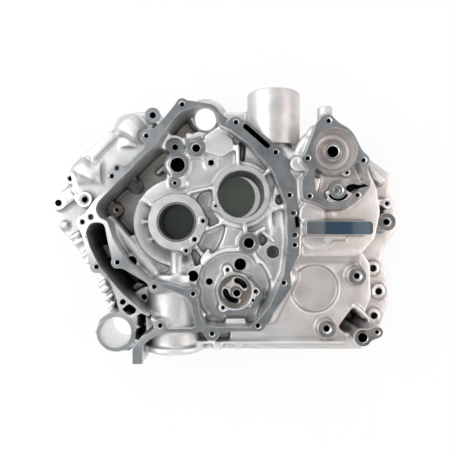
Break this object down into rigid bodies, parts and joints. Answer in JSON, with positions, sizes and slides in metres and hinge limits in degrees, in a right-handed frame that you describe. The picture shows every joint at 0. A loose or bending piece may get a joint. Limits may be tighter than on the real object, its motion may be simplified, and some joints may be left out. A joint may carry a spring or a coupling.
{
  "type": "crankcase half",
  "caption": "Bare cast aluminium crankcase half of a small engine, open on its cover side, with bearing bores, pump seats, chain tunnel, spigot and a mount bar.",
  "frame": {"origin": "on the crankshaft's axis, in the machined ring face of the crank bearing boss", "axes": "+Z out of the cover face, square to it; +Y towards the turned spigot; +X towards the water pump side"},
  "size_m": [0.4261, 0.3122, 0.108],
  "materials": {
    "cast_aluminium": "satin cast skin with machined faces",
    "bush_steel": "ground"
  },
  "bodies": {
    "root": {"crankcase_casting": "cast_aluminium", "crank_bush": "bush_steel"}
  },
  "joints": []
}
